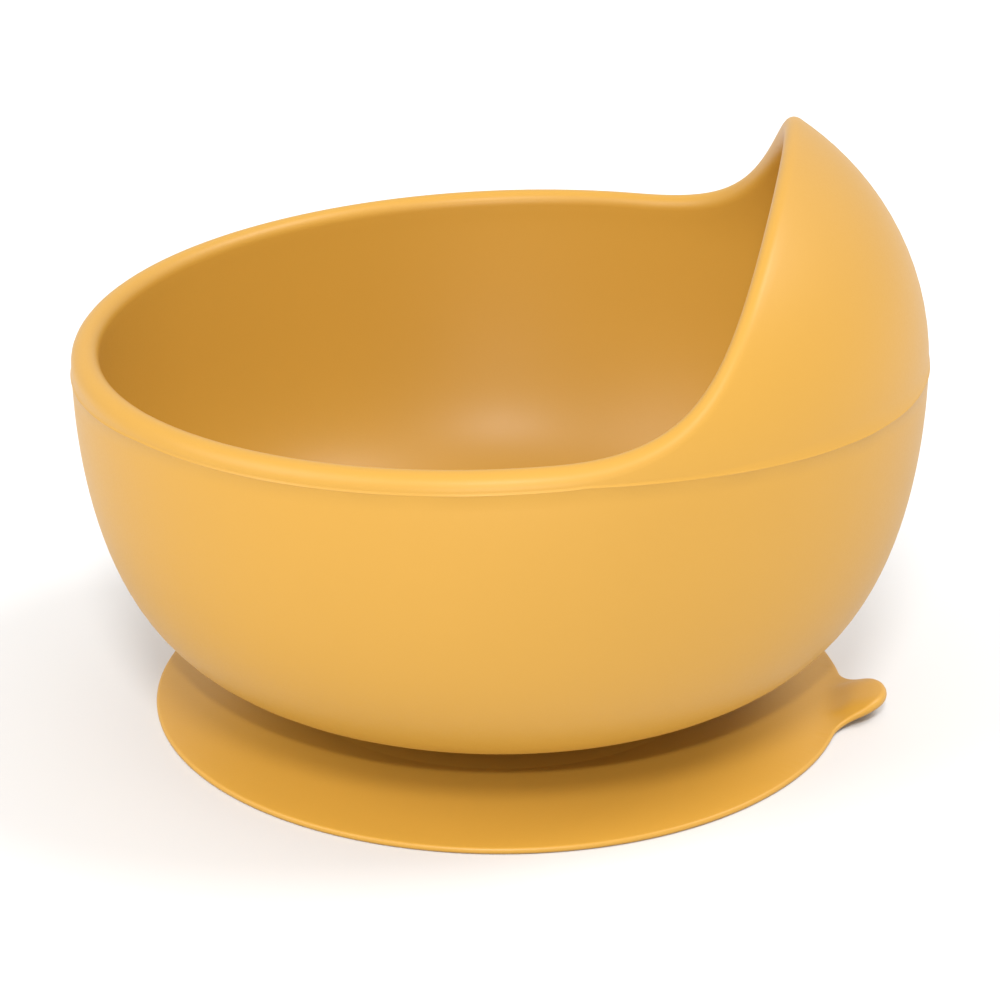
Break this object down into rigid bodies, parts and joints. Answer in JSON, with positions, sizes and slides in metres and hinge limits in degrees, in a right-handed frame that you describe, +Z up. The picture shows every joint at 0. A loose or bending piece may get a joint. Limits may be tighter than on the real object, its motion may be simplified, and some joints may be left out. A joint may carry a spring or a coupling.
{
  "type": "suction bowl",
  "caption": "Round soft silicone baby bowl with a rounded rim, a tall curved hood at the back, and a thin suction cup base with a release tab.",
  "frame": {"origin": "on the table, under the centre of the bowl and of its suction base", "axes": "+Z up; +X points at the hood and at the release tab; XZ is the plane of symmetry"},
  "size_m": [0.124, 0.124, 0.088],
  "materials": {
    "bowl_silicone": "matte mustard silicone",
    "base_silicone": "matte mustard silicone"
  },
  "bodies": {
    "base": {"sealing_skirt": "base_silicone", "suction_membrane": "base_silicone"},
    "bowl_body": {"bowl": "bowl_silicone", "neck": "base_silicone"},
    "tab": {"release_tab": "base_silicone"}
  },
  "joints": [
    {"name": "press_down", "type": "slide", "parent": "base", "child": "bowl_body", "axis": [0, 0, -1], "range_m": [0, 0.0025], "stiffness_N_per_m": 2500, "springref_m": -0.0012, "deforming": ["suction_membrane"]},
    {"name": "tab_lift", "type": "hinge", "parent": "base", "child": "tab", "pos_m": [0.0501, 0, 0.0012], "axis": [0, -1, 0], "range_deg": [0, 75], "stiffness_Nm_per_rad": 0.01, "springref_deg": -5.73}
  ]
}
